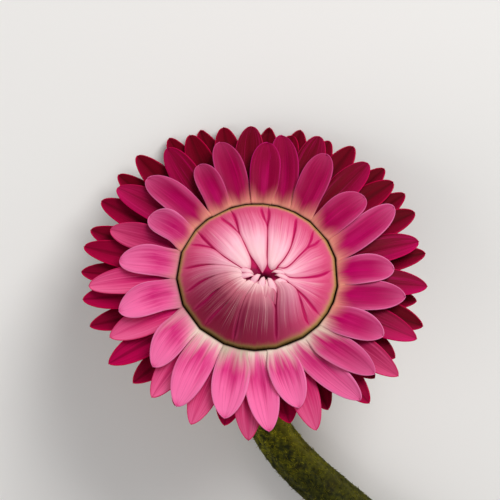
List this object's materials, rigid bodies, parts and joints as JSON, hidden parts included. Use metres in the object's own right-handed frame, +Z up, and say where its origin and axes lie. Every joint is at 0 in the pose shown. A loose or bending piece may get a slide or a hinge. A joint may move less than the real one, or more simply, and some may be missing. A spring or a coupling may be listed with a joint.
{
  "type": "dried strawflower",
  "caption": "Half-open strawflower head with a closed pink dome and spread papery bracts, on a short bent stem, lying down.",
  "frame": {"origin": "middle of the lying flower's footprint, on the surface it lies on", "axes": "+Y from the stem's cut end towards the low edge of the head, +Z up from the surface"},
  "size_m": [0.0565, 0.0715, 0.0291],
  "materials": {
    "closed_bract": "satin",
    "magenta_bract": "satin",
    "crimson_bract": "satin",
    "straw_scale": "satin",
    "green_stem": "matte"
  },
  "bodies": {
    "root": {"closed_bracts": "closed_bract", "inner_ray_bracts": "magenta_bract", "outer_ray_bracts": "crimson_bract", "scale_bracts": "straw_scale", "stem": "green_stem"}
  },
  "joints": []
}
